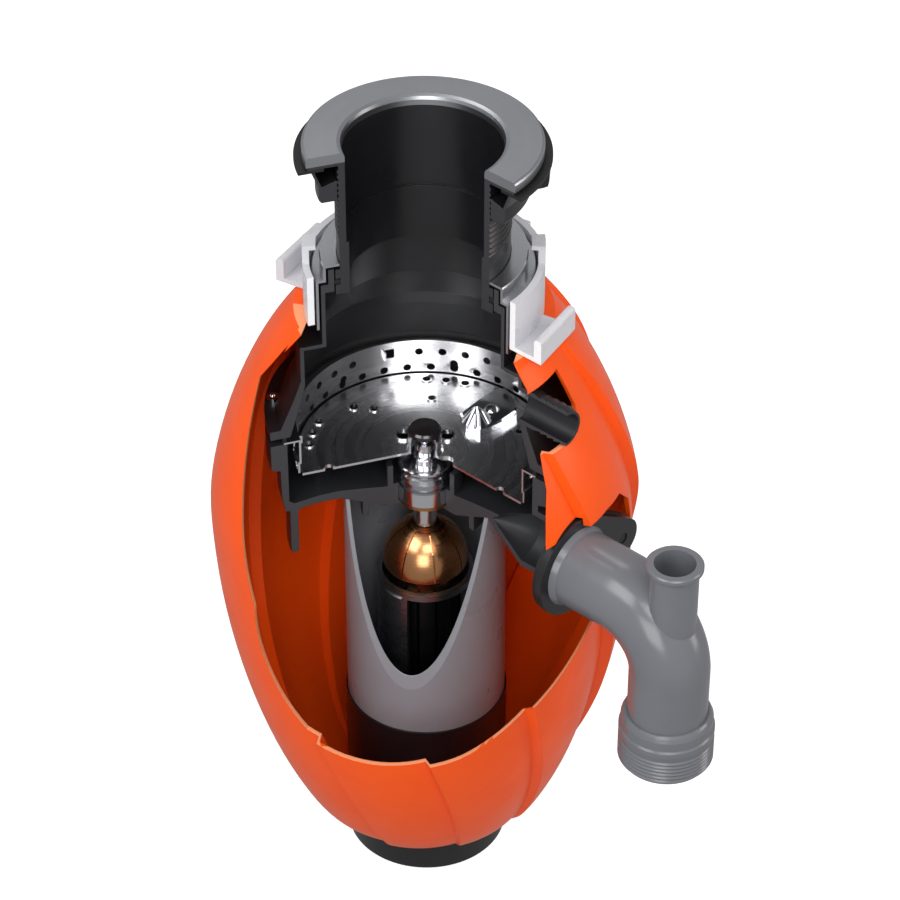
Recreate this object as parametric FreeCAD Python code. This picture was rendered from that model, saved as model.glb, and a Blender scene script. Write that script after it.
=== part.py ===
import FreeCAD, Part
import math
import os

# Kitchen garbage disposal, built as a cutaway showpiece.  Millimetres, +Z up.
# Origin: the machine's own axis at the bottom of its foot.  The drain outlet points along +X.
# The round inner parts have the wedge from WEDGE_START to WEDGE_END (degrees about +Z) taken out.

Vec = FreeCAD.Vector
os.makedirs("parts", exist_ok=True)

# ---- driving dimensions ------------------------------------------------------------------
WEDGE_START = -120.0
WEDGE_END = 0.0
FAR = 400.0                    # reach of the tools that cut things away

TUBE_CLEAR = 0.05              # radial fit between a pushed-in tube and its socket
THREAD_CLEAR = 0.08            # air between the nut's bore and the thread crests

CHAMBER_RADIUS = 71.3          # inside of the lower chamber; the grinding set hangs on it
RIM_FLANGE = CHAMBER_RADIUS + 8.5
SCREW_CIRCLE = CHAMBER_RADIUS + 4.5

# sink flange and its threaded sleeve
FLANGE_RADIUS = 57.5
FLANGE_TOP = 438.6
FLANGE_COVER = 5.2             # thickness of the steel cover
FLANGE_LIP = 2.3               # how far the cover's inner edge slopes in
SLEEVE_RADIUS = 42.0
SLEEVE_WALL = 3.5
SLEEVE_SHELF = 1.6             # plastic shelf under the steel cover
SLEEVE_STEP_Z = 388.0          # where the bore narrows
SLEEVE_STEP = 1.3
SLEEVE_BOTTOM = 358.8
COLLAR_TOP = 373.0             # thick end of the sleeve that carries the O-ring
COLLAR_OUT = 2.4
ORING_Z = 366.1
ORING_SECTION = 3.0
THREAD_PITCH = 3.0
THREAD_DEPTH = 0.9
THREAD_LOW = 391.0
RIM_SEAL_OVERHANG = 3.8        # how far the rubber stands out past the flange
RIM_SEAL_CLEAR = 6.7           # air between the rubber and the sleeve
RIM_SEAL_THICK = 1.6

# lock nut under the sink
NUT_HEIGHT = 9.6
NUT_BODY = 9.5                 # from the sleeve out to the nut's rim
NUT_SKIRT = 7.9
NUT_SKIRT_OUT = 3.4
NUT_WALL = 1.5
NUT_WING_OUT = 8.5
NUT_WING_WIDTH = 9.0
NUT_WING_AT = (37.0, 157.0)

# hopper, the upper grinding chamber
NECK_FIT = 0.65                # air between the sleeve's collar and the neck
NECK_WALL = 2.95
NECK_TOP = 373.7
HOPPER_LIP_TOP = 365.4
HOPPER_LIP = 4.6
THROAT_STEP = 4.75             # how much wider the throat is than the neck
HOPPER_WALL = 2.0
HOPPER_SHOULDER = 331.0
HOPPER_RADIUS = 61.2
HOPPER_KNEE = 308.0
FLARE_WALL = 5.0
JOINT_Z = 274.2                # top face of the lower chamber's rim
HOPPER_SEAL_THICK = 3.0
HOPPER_FLANGE_THICK = 5.0
INLET_Z = 313.5                # dishwasher inlet
INLET_RADIUS = 11.0
INLET_WALL = 2.6
INLET_LENGTH = 31.0
INLET_BARBS = 5

# stamped cap and mounting ring
CAP_SHEET = 1.3
CAP_TOP = 376.4
CAP_STEP = 368.4
CAP_SKIRT_BOTTOM = 339.8
CAP_GAP = 1.2
RING_WALL = 3.4
RING_BOTTOM = 343.4
RING_TOP = 371.2
WING_AT = (12.0, 102.0, 192.0)
WING_REACH = 73.5
WING_WIDTH = 37.0
WING_SHEET = 2.4
WING_LIP = 13.0
LIP_SHEET = 4.6
TAB_AT = (42.0, 132.0, 222.0)    # hooked tabs on the collar
TAB_TOP = 381.0
TAB_HOOK = 3.3
TAB_WIDTH = 11.0

# grinding set
GRIND_RADIUS = CHAMBER_RADIUS - 7.0
GRIND_SHEET = 1.0
GRIND_STEP_Z = 260.4
GRIND_STEP = 0.8
GRIND_BOTTOM = 254.8
GRIND_LEDGE = CHAMBER_RADIUS + 1.7
GRIND_HOLE = 4.2
GRIND_PITCH = 10.8             # degrees between holes
GRIND_ROWS = (268.0, 257.7)
GRIND_WINDOW_AT = (69.0, 149.0, 229.0)
DISC_RADIUS = GRIND_RADIUS - 0.3
DISC_TOP = 254.2
DISC_SHEET = 1.4
DISC_HOLE = 4.2
DISC_HOLES = (                  # circle each row of holes stands on, and where, degrees
    (DISC_RADIUS - 5.6, (111.5, 121.5, 131.5, 199.5, 209.0, 218.5)),
    (DISC_RADIUS - 13.8, (59.5, 178.5, 240.0, 0.0)),
    (DISC_RADIUS - 21.7, (127.5, 170.0)))
CUP_RADIUS = 8.4               # pressed-up cup in the middle of the disc
CUP_TOP = 263.4
HUB_HOLE = 7.6
HUB_HOLE_CIRCLE = 15.4
HUB_HOLE_TURN = 86.0
LUG_AT = 80.8                  # where the swivel lug sits, degrees
LUG_CIRCLE = GRIND_RADIUS - 20.7
LUG_PIN = 3.2
LUG_SHEET = 4.6
LUG_CONE = 9.2
LUG_REACH = 19.8               # furthest corner of the lug from its rivet

# rotor
SHAFT_RADIUS = 6.0
SHAFT_STEP = 0.8               # shoulder under the top bearing
SPINDLE_RADIUS = 5.0           # the shaft inside the armature
SHAFT_TOP = 240.0
SHAFT_BOTTOM = 48.0
JOURNAL_RADIUS = 4.0
HUB_RADIUS = 14.0              # slinger dish over the shaft seal
HUB_BARREL = 4.8
HUB_NECK = 2.7
HUB_CAP_RADIUS = 8.5
CAP_NUT_TOP = 268.2
ARMATURE_RADIUS = 18.4
ARMATURE_LOW = 88.0
ARMATURE_HIGH = 172.0
ARMATURE_SLOTS = 12
WINDING_RADIUS = 21.9
WINDING_LOW = 179.5
WINDING_HIGH = 208.0
WINDING_SEAMS = 8
COMMUTATOR_RADIUS = 10.5
COMMUTATOR_LOW = 66.0
COMMUTATOR_HIGH = 82.0

# lower chamber
CHAMBER_WALL = 3.9
CHAMBER_RIM_LOW = 258.0
CHAMBER_FLOOR = 236.0
SEAL_BORE = 14.1               # bore of the hub collar that holds the seal
COLLAR_CUP = 2.7               # how much wider the collar is above the seal's seat
COLLAR_WALL = 5.7
HUB_COLLAR_TOP = 247.5
HUB_BOTTOM = 222.7
BEARING_SEAT = 227.0
WASHER_THICK = 2.2
LEG_AT = (234.0, 174.0, 114.0)
LEG_LOW = 205.0
SCREW_AT = (20.0, 60.0, 100.0, 140.0, 180.0, 220.0)
OUTLET_Z = 234.0
OUTLET_BORE = 16.5
OUTLET_WALL = 3.5
NOZZLE_START = CHAMBER_RADIUS - 29.3   # point of the cone that grows into the outlet
OUTLET_START = CHAMBER_RADIUS - 6.8
OUTLET_FACE = CHAMBER_RADIUS + 23.4

# drain elbow
ELBOW_RADIUS = 20.0
ELBOW_WALL = 2.8
ELBOW_REACH = 66.3             # from the outlet's face to the part that points down
ELBOW_DROP_X = OUTLET_FACE + ELBOW_REACH
ELBOW_BEND = 32.0
ELBOW_END_Z = 160.0
PLATE_RADIUS = 27.0
PLATE_THICK = 3.6
ELBOW_LIP = 2.8                # rim of the elbow that the clamp plate traps
ELBOW_LIP_THICK = 1.5
EAR_Y = 36.0
EAR_DROP = 5.0
EAR_RADIUS = 11.0
EAR_HOLE = 3.2
OUTLET_SEAL = 2.2
SPOUT_RADIUS = 12.0
SPOUT_BORE = 10.2
SPOUT_TOP = 269.0
SPOUT_LIP = 2.1
COUPLER_RADIUS = 23.9
COUPLER_LOW = 146.0
COUPLER_SHOULDER = 168.0
COUPLER_HIGH = 176.5
COUPLER_PITCH = 2.3

# motor housing and foot
TUBE_RADIUS = 41.6
FOOT_LAP = 0.9                 # how far the foot stands out past the tube
FOOT_RADIUS = TUBE_RADIUS + FOOT_LAP
FOOT_WALL = 3.0
FOOT_TOP = 99.6
FOOT_FLOOR = 6.0
TUBE_WALL = 1.8
TUBE_TOP = 231.2
SOCKET_DEPTH = 10.0
TUBE_CUT_LOW = 128.4           # lowest point of the slanting cut through the tube
TUBE_CUT_HIGH = 226.0
CAN_RADIUS = 25.2
CAN_WALL = 1.8
CAN_TOP = 178.3
CAN_BOTTOM = 58.0
CAN_WINDOW_FROM = -70.0
CAN_WINDOW_TO = 20.0
MAGNET_CLEAR = 0.6
BUTTON_RADIUS = 4.5
BUTTON_TRAVEL = 3.0
BUTTON_AT = (9.0, 3.0)

# outer casing: an egg of ten swirled panels
CASE_EQUATOR_Z = 227.0
CASE_RADIUS = 106.2
CASE_UP = 154.6
CASE_DOWN = 240.7
CASE_UP_POWER = 1.54
CASE_DOWN_POWER = 1.8
CASE_BOTTOM = 22.0
CASE_TUCK = 7.0                # how much further the shell pulls in at its very bottom
CASE_TUCK_HIGH = 18.0
CASE_TOP = 343.0
CASE_WALL = 2.6
CASE_PANELS = 10
CASE_STEP = 5.6                # how far each panel stands out over the next
CASE_TWIST = 0.17              # degrees of turn for each millimetre of height
CASE_CREASE = -83.5            # where one crease crosses CASE_CREASE_Z
CASE_CREASE_Z = 123.0
CASE_TOP_HOLE = 55.4
CASE_FOOT_HOLE = FOOT_RADIUS + 1.3
CASE_CUT_AT = -60.0            # direction in which the casing is opened

NODES = {}


# ---- helpers ---------------------------------------------------------------------------
def polar(radius, degrees, z=0.0):
    a = math.radians(degrees)
    return Vec(radius * math.cos(a), radius * math.sin(a), z)


def turned(profile):
    """Solid of revolution about Z of a closed outline given as (radius, z) corners."""
    points = [Vec(r, 0, z) for r, z in profile]
    face = Part.Face(Part.makePolygon(points + points[:1]))
    solid = face.revolve(Vec(0, 0, 0), Vec(0, 0, 1), 360)
    return Part.Solid(solid) if solid.ShapeType != "Solid" else solid


def rod(radius, z0, z1, x=0.0, y=0.0):
    return Part.makeCylinder(radius, z1 - z0, Vec(x, y, z0))


def ring(inner, outer, z0, z1):
    return turned([(inner, z0), (outer, z0), (outer, z1), (inner, z1)])


def slab(corners, base, along):
    """Prism: corners are 3-D points of a flat outline, swept along a vector."""
    face = Part.Face(Part.makePolygon(corners + corners[:1]))
    return face.translated(base).extrude(along)


def sector(start, end, z0=-10.0, z1=500.0, reach=FAR):
    """Wedge about Z between two directions in degrees."""
    steps = max(2, int((end - start) / 30.0) + 1)
    turns = [start + (end - start) * i / steps for i in range(steps + 1)]
    outline = [Vec(0, 0, z0)] + [polar(reach, t, z0) for t in turns]
    return slab(outline, Vec(0, 0, 0), Vec(0, 0, z1 - z0))


def turn(shape, degrees):
    return shape.rotated(Vec(0, 0, 0), Vec(0, 0, 1), degrees)


def fuse(shapes):
    return shapes[0].multiFuse(shapes[1:]).removeSplitter() if len(shapes) > 1 else shapes[0]


def group(shapes):
    """Separate identical solids kept together in one node."""
    return Part.makeCompound(shapes)


WEDGE = sector(WEDGE_START, WEDGE_END)


def opened(shape):
    """The same solid with the display wedge taken out."""
    return shape.cut(WEDGE)


def keep(name, shape):
    NODES[name] = shape


def ridges(root, depth, pitch, z0, z1):
    """Outline points of a run of round-about thread crests, from z0 up to z1."""
    count = int((z1 - z0) / pitch)
    points = []
    for i in range(count):
        z = z0 + i * pitch
        points += [(root, z), (root + depth, z + 0.4 * pitch), (root + depth, z + 0.6 * pitch)]
    return points + [(root, z0 + count * pitch)]


# ---- sink flange ---------------------------------------------------------------------------
def sink_flange():
    shelf_top = FLANGE_TOP - FLANGE_COVER
    shelf_low = shelf_top - SLEEVE_SHELF
    bore = SLEEVE_RADIUS - SLEEVE_WALL
    rounding = 1.4
    cover = turned([
        (bore, shelf_top), (FLANGE_RADIUS, shelf_top),
        (FLANGE_RADIUS, FLANGE_TOP - rounding), (FLANGE_RADIUS - 0.4, FLANGE_TOP - 0.4),
        (FLANGE_RADIUS - rounding, FLANGE_TOP), (bore + FLANGE_LIP, FLANGE_TOP),
        (bore + 0.6, FLANGE_TOP - 0.7), (bore, FLANGE_TOP - FLANGE_LIP)])
    keep("sink_flange_cover", opened(cover))

    narrow = bore - SLEEVE_STEP
    collar = SLEEVE_RADIUS + COLLAR_OUT
    groove = ORING_SECTION / 2 + 0.3
    groove_floor = NECK_BORE - TUBE_CLEAR - ORING_SECTION
    thread = ridges(SLEEVE_RADIUS - THREAD_DEPTH / 2, THREAD_DEPTH, THREAD_PITCH,
                    THREAD_LOW, shelf_low - 1.0)
    sleeve = turned(
        [(narrow, SLEEVE_BOTTOM), (collar, SLEEVE_BOTTOM), (collar, ORING_Z - groove),
         (groove_floor, ORING_Z - groove), (groove_floor, ORING_Z + groove),
         (collar, ORING_Z + groove), (collar, COLLAR_TOP), (SLEEVE_RADIUS, COLLAR_TOP)]
        + [(SLEEVE_RADIUS, THREAD_LOW - 1.0)] + thread
        + [(SLEEVE_RADIUS, shelf_low), (FLANGE_RADIUS - 0.8, shelf_low),
           (FLANGE_RADIUS - 0.8, shelf_top), (bore, shelf_top),
           (bore, SLEEVE_STEP_Z), (narrow, SLEEVE_STEP_Z)])
    keep("sink_sleeve", opened(sleeve))

    oring = Part.makeTorus(NECK_BORE - TUBE_CLEAR - ORING_SECTION / 2, ORING_SECTION / 2,
                           Vec(0, 0, ORING_Z))
    keep("neck_o_ring", opened(oring))

    seal_top = shelf_low - 0.05
    keep("rim_seal", opened(ring(SLEEVE_RADIUS + RIM_SEAL_CLEAR, FLANGE_RADIUS + RIM_SEAL_OVERHANG, seal_top - RIM_SEAL_THICK, seal_top)))
    lock_nut(seal_top - RIM_SEAL_THICK - 0.05)


def lock_nut(top):
    """Winged nut with a thin flared skirt that presses the seal up."""
    bore = SLEEVE_RADIUS + THREAD_DEPTH / 2 + THREAD_CLEAR
    rim = SLEEVE_RADIUS + NUT_BODY
    reach = rim + NUT_WING_OUT
    shoulder = top - NUT_SKIRT
    low = shoulder - NUT_HEIGHT
    out = rim + NUT_SKIRT_OUT
    nut = turned([
        (bore, low), (rim - 1.2, low), (rim, low + 1.6), (rim, shoulder - 0.5),
        (out, top), (out - NUT_WALL, top), (rim - NUT_WALL, shoulder - 0.8),
        (bore, shoulder + 1.6)])
    wings = []
    for at in NUT_WING_AT:
        inner = rim - 3.0
        outline = [Vec(inner, 0, low + 2.0), Vec(reach - 3.0, 0, top - 13.0),
                   Vec(reach - 0.6, 0, top - 12.0), Vec(reach, 0, top - 9.6),
                   Vec(reach, 0, top - 1.0), Vec(inner + 2.8, 0, top - 1.0),
                   Vec(inner + 1.6, 0, shoulder - 1.0)]
        wing = slab(outline, Vec(0, -NUT_WING_WIDTH / 2, 0), Vec(0, NUT_WING_WIDTH, 0))
        wings.append(turn(wing, at))
    funnel = turned([(0, low), (bore, low), (bore, shoulder + 1.6),
                     (rim - NUT_WALL, shoulder - 0.8), (out - NUT_WALL, top), (0, top)])
    keep("lock_nut", opened(fuse([nut] + wings).cut(funnel)))


# ---- hopper and its fastening ----------------------------------------------------------------
NECK_BORE = SLEEVE_RADIUS + COLLAR_OUT + NECK_FIT
NECK_OUT = NECK_BORE + NECK_WALL
HOPPER_THROAT = NECK_BORE + THROAT_STEP
HOPPER_LOW = JOINT_Z + GRIND_SHEET + HOPPER_SEAL_THICK
THROAT_OUT = HOPPER_THROAT + HOPPER_WALL
SHELL_OUT = HOPPER_RADIUS + HOPPER_WALL


def hopper():
    mouth = CHAMBER_RADIUS - 1.8
    flange_top = HOPPER_LOW + HOPPER_FLANGE_THICK
    body = turned([
        (NECK_BORE, NECK_TOP), (NECK_BORE, HOPPER_LIP_TOP - HOPPER_LIP),
        (HOPPER_THROAT, HOPPER_LIP_TOP - HOPPER_LIP), (HOPPER_THROAT, HOPPER_SHOULDER - HOPPER_WALL),
        (HOPPER_RADIUS, HOPPER_SHOULDER - HOPPER_WALL), (HOPPER_RADIUS, HOPPER_KNEE),
        (HOPPER_RADIUS + 2.0, HOPPER_KNEE - 8.0), (mouth, HOPPER_LOW),
        (RIM_FLANGE, HOPPER_LOW), (RIM_FLANGE, flange_top), (mouth + FLARE_WALL, flange_top),
        (HOPPER_RADIUS + 2.0 + FLARE_WALL * 0.8, HOPPER_KNEE - 8.0), (SHELL_OUT, HOPPER_KNEE + 3.0),
        (SHELL_OUT, HOPPER_SHOULDER), (THROAT_OUT, HOPPER_SHOULDER), (THROAT_OUT, HOPPER_LIP_TOP),
        (NECK_OUT, HOPPER_LIP_TOP), (NECK_OUT, NECK_TOP)])
    bore_radius = INLET_RADIUS - INLET_WALL
    start = HOPPER_RADIUS + HOPPER_WALL / 2
    barbs = []
    first = start + 9.0
    end = HOPPER_RADIUS + INLET_LENGTH
    pitch = (end - first) / INLET_BARBS
    for i in range(INLET_BARBS):
        barbs.append(Part.makeCone(INLET_RADIUS, INLET_RADIUS - 1.3, pitch,
                                   Vec(first + i * pitch, 0, INLET_Z), Vec(1, 0, 0)))
    spigot = Part.makeCylinder(INLET_RADIUS - 1.4, end - start, Vec(start, 0, INLET_Z), Vec(1, 0, 0))
    collar = Part.makeCylinder(INLET_RADIUS, 8.9, Vec(start, 0, INLET_Z), Vec(1, 0, 0))
    bore = Part.makeCylinder(bore_radius, end, Vec(HOPPER_RADIUS - 12.0, 0, INLET_Z), Vec(1, 0, 0))
    body = fuse([body, spigot, collar] + barbs).cut(bore)
    holes = [rod(1.8, HOPPER_LOW - 1.0, flange_top + 1.0, *polar(SCREW_CIRCLE, at)[:2])
             for at in SCREW_AT]
    holes += [rod(3.4, flange_top, flange_top + 12.0, *polar(SCREW_CIRCLE, at)[:2]) for at in SCREW_AT]
    keep("hopper", opened(body.cut(Part.makeCompound(holes))))
    seal = ring(GRIND_RADIUS + GRIND_SHEET + 6.2, SCREW_CIRCLE - 2.2, JOINT_Z + GRIND_SHEET, HOPPER_LOW)
    keep("hopper_seal", opened(seal))
    screws = []
    for at in SCREW_AT:
        x, y = polar(SCREW_CIRCLE, at)[:2]
        head = rod(3.0, flange_top, flange_top + 2.6, x, y)
        shank = rod(1.7, HOPPER_LOW - 12.0, flange_top, x, y)
        socket = rod(1.3, flange_top + 1.2, flange_top + 3.0, x, y)
        screws.append(fuse([head, shank]).cut(socket))
    keep("chamber_screws", group(screws))


def stamped_cap():
    """Stepped sheet cap that locks the sleeve's collar into the hopper neck."""
    inner = SLEEVE_RADIUS + 0.3
    step = NECK_OUT + CAP_GAP
    skirt = THROAT_OUT + CAP_GAP
    t = CAP_SHEET
    cap = turned([
        (inner, CAP_TOP), (inner, CAP_TOP - t), (step, CAP_TOP - t), (step, CAP_STEP - t),
        (skirt, CAP_STEP - t), (skirt, CAP_SKIRT_BOTTOM), (skirt + t, CAP_SKIRT_BOTTOM),
        (skirt + t, CAP_STEP - 0.5), (skirt + t - 0.5, CAP_STEP), (step + t, CAP_STEP),
        (step + t, CAP_TOP - 0.5), (step + t - 0.5, CAP_TOP)])
    keep("stamped_cap", opened(cap))
    return skirt + t


def mounting_ring(inner):
    """Bayonet ring: a collar with plates whose far edges are folded up."""
    outer = inner + RING_WALL
    parts = [ring(inner, outer, RING_BOTTOM, RING_TOP)]
    half = WING_WIDTH / 2
    for at in WING_AT:
        z0 = RING_BOTTOM
        corners = [Vec(inner + 1.0, -half * 0.9, z0), Vec(WING_REACH, -half, z0),
                   Vec(WING_REACH, half, z0), Vec(inner - 8.0, half, z0)]
        plate = slab(corners, Vec(0, 0, 0), Vec(0, 0, WING_SHEET))
        lip = Part.makeBox(LIP_SHEET, WING_WIDTH, WING_LIP, Vec(WING_REACH - LIP_SHEET, -half, z0))
        crown = [e for e in lip.Edges if abs(e.CenterOfMass.z - z0 - WING_LIP) < 0.01
                 and abs(e.CenterOfMass.y) < 0.01]
        lip = lip.makeFillet(LIP_SHEET * 0.42, crown)
        parts.append(turn(fuse([plate, lip]), at))
    body = fuse(parts).cut(rod(inner, RING_BOTTOM - 1.0, RING_TOP + 1.0))
    hook = TAB_TOP - 2.4
    upright = ring(inner, outer, RING_TOP - 1.0, TAB_TOP)
    nose = ring(inner - TAB_HOOK, outer, hook, TAB_TOP)
    band = fuse([upright, nose])
    spread = math.degrees(TAB_WIDTH / 2 / outer)
    tabs = [band.common(sector(at - spread, at + spread)) for at in TAB_AT]
    body = fuse([body] + tabs)
    keep("mounting_ring", opened(body))


# ---- grinding set ----------------------------------------------------------------------------
def grind_ring():
    """Perforated ring clamped between the two chambers."""
    r = GRIND_RADIUS
    t = GRIND_SHEET
    low = r + GRIND_STEP
    body = turned([
        (r, JOINT_Z + t), (r, GRIND_STEP_Z), (low, GRIND_STEP_Z), (low, GRIND_BOTTOM),
        (low + t, GRIND_BOTTOM), (low + t, GRIND_STEP_Z + t), (r + t, GRIND_STEP_Z + t),
        (r + t, JOINT_Z), (GRIND_LEDGE, JOINT_Z), (GRIND_LEDGE, JOINT_Z + t)])
    tools = []
    count = int((360.0 + WEDGE_START - WEDGE_END) / GRIND_PITCH)
    for row, z in enumerate(GRIND_ROWS):
        for i in range(count):
            at = WEDGE_END + (i + 0.5 + 0.5 * row) * GRIND_PITCH
            if row == 0 and min(abs(at - w) for w in GRIND_WINDOW_AT) < 0.8 * GRIND_PITCH:
                continue
            tall = row == 1 and i % 5 == 0
            bit = Part.makeCylinder(GRIND_HOLE / 2, 8.0, Vec(r - 3.0, 0, z), Vec(1, 0, 0))
            if tall:
                upper = bit.translated(Vec(0, 0, GRIND_HOLE * 0.9))
                web = Part.makeBox(8.0, GRIND_HOLE, GRIND_HOLE * 0.9, Vec(r - 3.0, -GRIND_HOLE / 2, z))
                bit = fuse([bit, upper, web])
            tools.append(turn(bit, at))
    size = 5.6
    for at in GRIND_WINDOW_AT:
        tools.append(turn(Part.makeBox(8.0, size, size, Vec(r - 3.0, -size / 2, GRIND_ROWS[0] - 2.4)), at))
    body = body.cut(Part.makeCompound(tools))
    tabs = []
    for at in GRIND_WINDOW_AT:
        tab = Part.makeBox(3.2, 0.9, size - 1.0, Vec(r - 2.6, size / 2 - 0.6, GRIND_ROWS[0] - 1.9))
        tabs.append(turn(tab, at))
    keep("grind_ring", opened(fuse([body] + tabs)))


def turntable():
    """Drilled disc with a pressed-up cup over the hub."""
    low = DISC_TOP - DISC_SHEET
    wall = CUP_RADIUS - 1.1
    disc = turned([
        (wall, low), (DISC_RADIUS, low), (DISC_RADIUS, DISC_TOP), (CUP_RADIUS + 1.0, DISC_TOP),
        (CUP_RADIUS, DISC_TOP + 1.0), (CUP_RADIUS, CUP_TOP - 0.6), (CUP_RADIUS - 0.6, CUP_TOP),
        (HUB_NECK + 0.05, CUP_TOP), (HUB_NECK + 0.05, CUP_TOP - 1.1), (wall, CUP_TOP - 1.1)])
    lips = []
    tools = []
    for i in range(3):
        x, y = polar(HUB_HOLE_CIRCLE, HUB_HOLE_TURN + 90.0 * (i - 1))[:2]
        lips.append(rod(HUB_HOLE / 2 + 0.9, low, DISC_TOP + 1.2, x, y))
        tools.append(rod(HUB_HOLE / 2, low - 2.0, DISC_TOP + 4.0, x, y))
    pivot = polar(LUG_CIRCLE, LUG_AT)
    for circle, places in DISC_HOLES:
        for at in places:
            x, y = polar(circle, at)[:2]
            tools.append(rod(DISC_HOLE / 2, low - 2.0, DISC_TOP + 4.0, x, y))
            if math.hypot(x - pivot.x, y - pivot.y) > LUG_REACH + DISC_HOLE:
                lips.append(rod(DISC_HOLE / 2 + 0.7, low, DISC_TOP + 0.7, x, y))
    tools.append(rod(LUG_PIN + TUBE_CLEAR, low - 2.0, DISC_TOP + 4.0, pivot.x, pivot.y))
    body = fuse([disc] + lips).cut(Part.makeCompound(tools))
    keep("turntable", opened(body))


def swivel_lug():
    """Swinging impeller: a thick clipped plate with a fluted cone at its inner end, on its rivet."""
    floor = DISC_TOP + 0.15
    top = floor + LUG_SHEET
    outline = [(-7.0, 18.5), (4.5, 14.0), (10.5, 7.0), (10.3, -3.5), (9.0, -10.5), (6.5, -16.5),
               (-1.5, -18.3), (-10.0, -13.3), (-10.9, 3.0), (-10.5, 13.5)]
    plate = slab([Vec(x, y, 0) for x, y in outline], Vec(0, 0, floor), Vec(0, 0, LUG_SHEET))
    crown = [e for e in plate.Edges if e.CenterOfMass.z > top - 0.1]
    plate = plate.makeChamfer(0.9, crown)
    base, tip = 7.9, 0.8
    cone = Part.makeCone(base, tip, LUG_CONE, Vec(0, 0, 0))
    flute = Part.makeCylinder(1.5, 20.0, Vec(base + 1.9, 0, -1.5), Vec(tip - base, 0, LUG_CONE))
    flutes = [turn(flute, 45.0 * i) for i in range(8)]
    cone = cone.cut(Part.makeCompound(flutes)).translated(Vec(0, -11.5, top - 0.5))
    body = fuse([plate, cone])
    body = body.cut(rod(LUG_PIN + TUBE_CLEAR, floor - 1.0, top + 1.0)).cut(rod(4.4, top, top + 20.0))
    place = polar(LUG_CIRCLE, LUG_AT)
    keep("swivel_lug", body.translated(place))
    low = DISC_TOP - DISC_SHEET
    shank = rod(LUG_PIN, low - 1.2, top + 0.2, place.x, place.y)
    foot = rod(LUG_PIN + 1.5, low - 1.2, low - 0.02, place.x, place.y)
    head = Part.makeSphere(5.0, Vec(place.x, place.y, top - 3.0))
    head = head.cut(rod(20.0, -50.0, top + 0.15, place.x, place.y))
    keep("lug_rivet", fuse([shank, foot, head]))


# ---- rotor -----------------------------------------------------------------------------------
def rotor():
    journal = SHAFT_RADIUS - SHAFT_STEP
    dish = HUB_COLLAR_TOP - 1.8
    barrel = DISC_TOP - 3.1
    shoulder = CUP_TOP - 1.12
    hub = turned([
        (0, SHAFT_TOP), (journal, SHAFT_TOP), (journal, dish - 0.4), (HUB_RADIUS - 1.6, dish),
        (HUB_RADIUS, dish + 1.0), (HUB_RADIUS, dish + 2.2), (HUB_RADIUS - 1.2, dish + 2.3),
        (journal + 0.9, dish + 1.6), (journal + 0.3, barrel - 0.9), (journal + 0.7, barrel - 0.6),
        (journal + 0.7, barrel), (HUB_BARREL, barrel + 0.2), (HUB_BARREL, CUP_TOP - 4.4),
        (HUB_NECK, CUP_TOP - 4.1), (HUB_NECK, shoulder - 0.9), (HUB_NECK + 0.9, shoulder - 0.9),
        (HUB_NECK + 0.9, shoulder), (HUB_NECK, shoulder), (HUB_NECK, CUP_TOP), (0, CUP_TOP)])
    keep("rotor_hub", hub)
    stem = CUP_TOP + 0.02
    rim = HUB_CAP_RADIUS
    cap = turned([
        (0, stem), (4.3, stem), (4.3, CAP_NUT_TOP - 4.1), (rim - 0.9, CAP_NUT_TOP - 4.0),
        (rim, CAP_NUT_TOP - 3.0), (rim, CAP_NUT_TOP - 1.1), (rim - 1.0, CAP_NUT_TOP),
        (0, CAP_NUT_TOP + 0.3)])
    keep("hub_cap", cap)
    shaft = turned([
        (0, SHAFT_BOTTOM), (JOURNAL_RADIUS, SHAFT_BOTTOM), (JOURNAL_RADIUS, CAN_BOTTOM + 8.0),
        (SPINDLE_RADIUS, CAN_BOTTOM + 8.0), (SPINDLE_RADIUS, WINDING_LOW), (SHAFT_RADIUS, WINDING_HIGH),
        (SHAFT_RADIUS, HUB_BOTTOM - 0.4), (journal, HUB_BOTTOM - 0.4), (journal, SHAFT_TOP), (0, SHAFT_TOP)])
    keep("rotor_shaft", shaft)
    core = ring(SPINDLE_RADIUS, ARMATURE_RADIUS, ARMATURE_LOW, ARMATURE_HIGH)
    slot = Part.makeBox(9.0, 1.6, ARMATURE_HIGH - ARMATURE_LOW + 2.0,
                        Vec(ARMATURE_RADIUS - 6.0, -0.8, ARMATURE_LOW - 1.0))
    slots = [turn(slot, 360.0 * i / ARMATURE_SLOTS) for i in range(ARMATURE_SLOTS)]
    keep("armature_core", core.cut(Part.makeCompound(slots)))
    winding_crown()
    lower = turned([(SPINDLE_RADIUS, COMMUTATOR_HIGH + 0.1), (13.0, COMMUTATOR_HIGH + 0.1), (16.0, ARMATURE_LOW - 1.5),
                    (16.0, ARMATURE_LOW), (SPINDLE_RADIUS, ARMATURE_LOW)])
    keep("lower_windings", lower)
    drum = ring(SPINDLE_RADIUS, COMMUTATOR_RADIUS, COMMUTATOR_LOW, COMMUTATOR_HIGH)
    gap = Part.makeBox(3.0, 0.5, 30.0, Vec(COMMUTATOR_RADIUS - 1.5, -0.25, COMMUTATOR_LOW - 2.0))
    gaps = [turn(gap, 360.0 * i / ARMATURE_SLOTS) for i in range(ARMATURE_SLOTS)]
    keep("commutator", drum.cut(Part.makeCompound(gaps)))


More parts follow.
